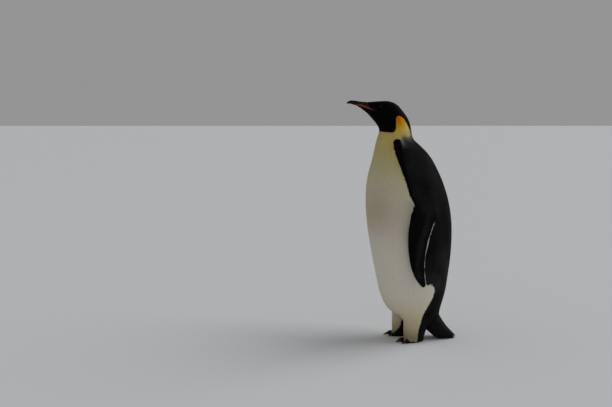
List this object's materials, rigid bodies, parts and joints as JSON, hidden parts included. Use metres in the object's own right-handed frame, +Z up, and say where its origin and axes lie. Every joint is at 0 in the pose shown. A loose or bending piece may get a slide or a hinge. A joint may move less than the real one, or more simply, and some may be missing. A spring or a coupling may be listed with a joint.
{
  "type": "emperor penguin model",
  "caption": "Life-size still model of an adult emperor penguin standing upright, head in profile, flippers at its sides and tail resting on the floor.",
  "frame": {"origin": "on the floor, at the middle of the bird's box seen from above", "axes": "+Z up, -Y the way the bird faces, +X its left side"},
  "size_m": [0.3718, 0.472, 1.003],
  "materials": {
    "body_feathers": "dense feathers, white to cream in front and slate grey behind, matte with a soft sheen",
    "neck_feathers": "dense short feathers, pale yellow in front and dark behind, matte",
    "head_feathers": "very short black feathers with an orange and yellow patch behind each ear, matte",
    "flipper_feathers": "tiny scale-like slate-black feathers outside and white inside, satin",
    "leg_feathers": "short cream feathers, dark at the back, matte",
    "tail_feathers": "long stiff black feathers, matte",
    "bill_horn": "smooth black horn, satin",
    "bill_plate_horn": "smooth orange to pink horn, satin",
    "eye": "dark brown iris and black pupil under a wet cornea, glossy",
    "foot_skin": "black scaly skin, rough",
    "claw_horn": "smooth black horn, satin"
  },
  "bodies": {
    "root": {"trunk": "body_feathers", "neck": "neck_feathers", "bill_upper": "bill_horn", "bill_lower": "bill_horn", "bill_plate_left": "bill_plate_horn", "eye_left": "eye", "flipper_left": "flipper_feathers", "leg_left": "leg_feathers", "claw_left_inner": "claw_horn", "claw_left_middle": "claw_horn", "claw_left_outer": "claw_horn", "foot_left": "foot_skin", "bill_plate_right": "bill_plate_horn", "eye_right": "eye", "flipper_right": "flipper_feathers", "leg_right": "leg_feathers", "claw_right_inner": "claw_horn", "claw_right_middle": "claw_horn", "claw_right_outer": "claw_horn", "foot_right": "foot_skin", "head": "head_feathers", "tail": "tail_feathers"}
  },
  "joints": []
}
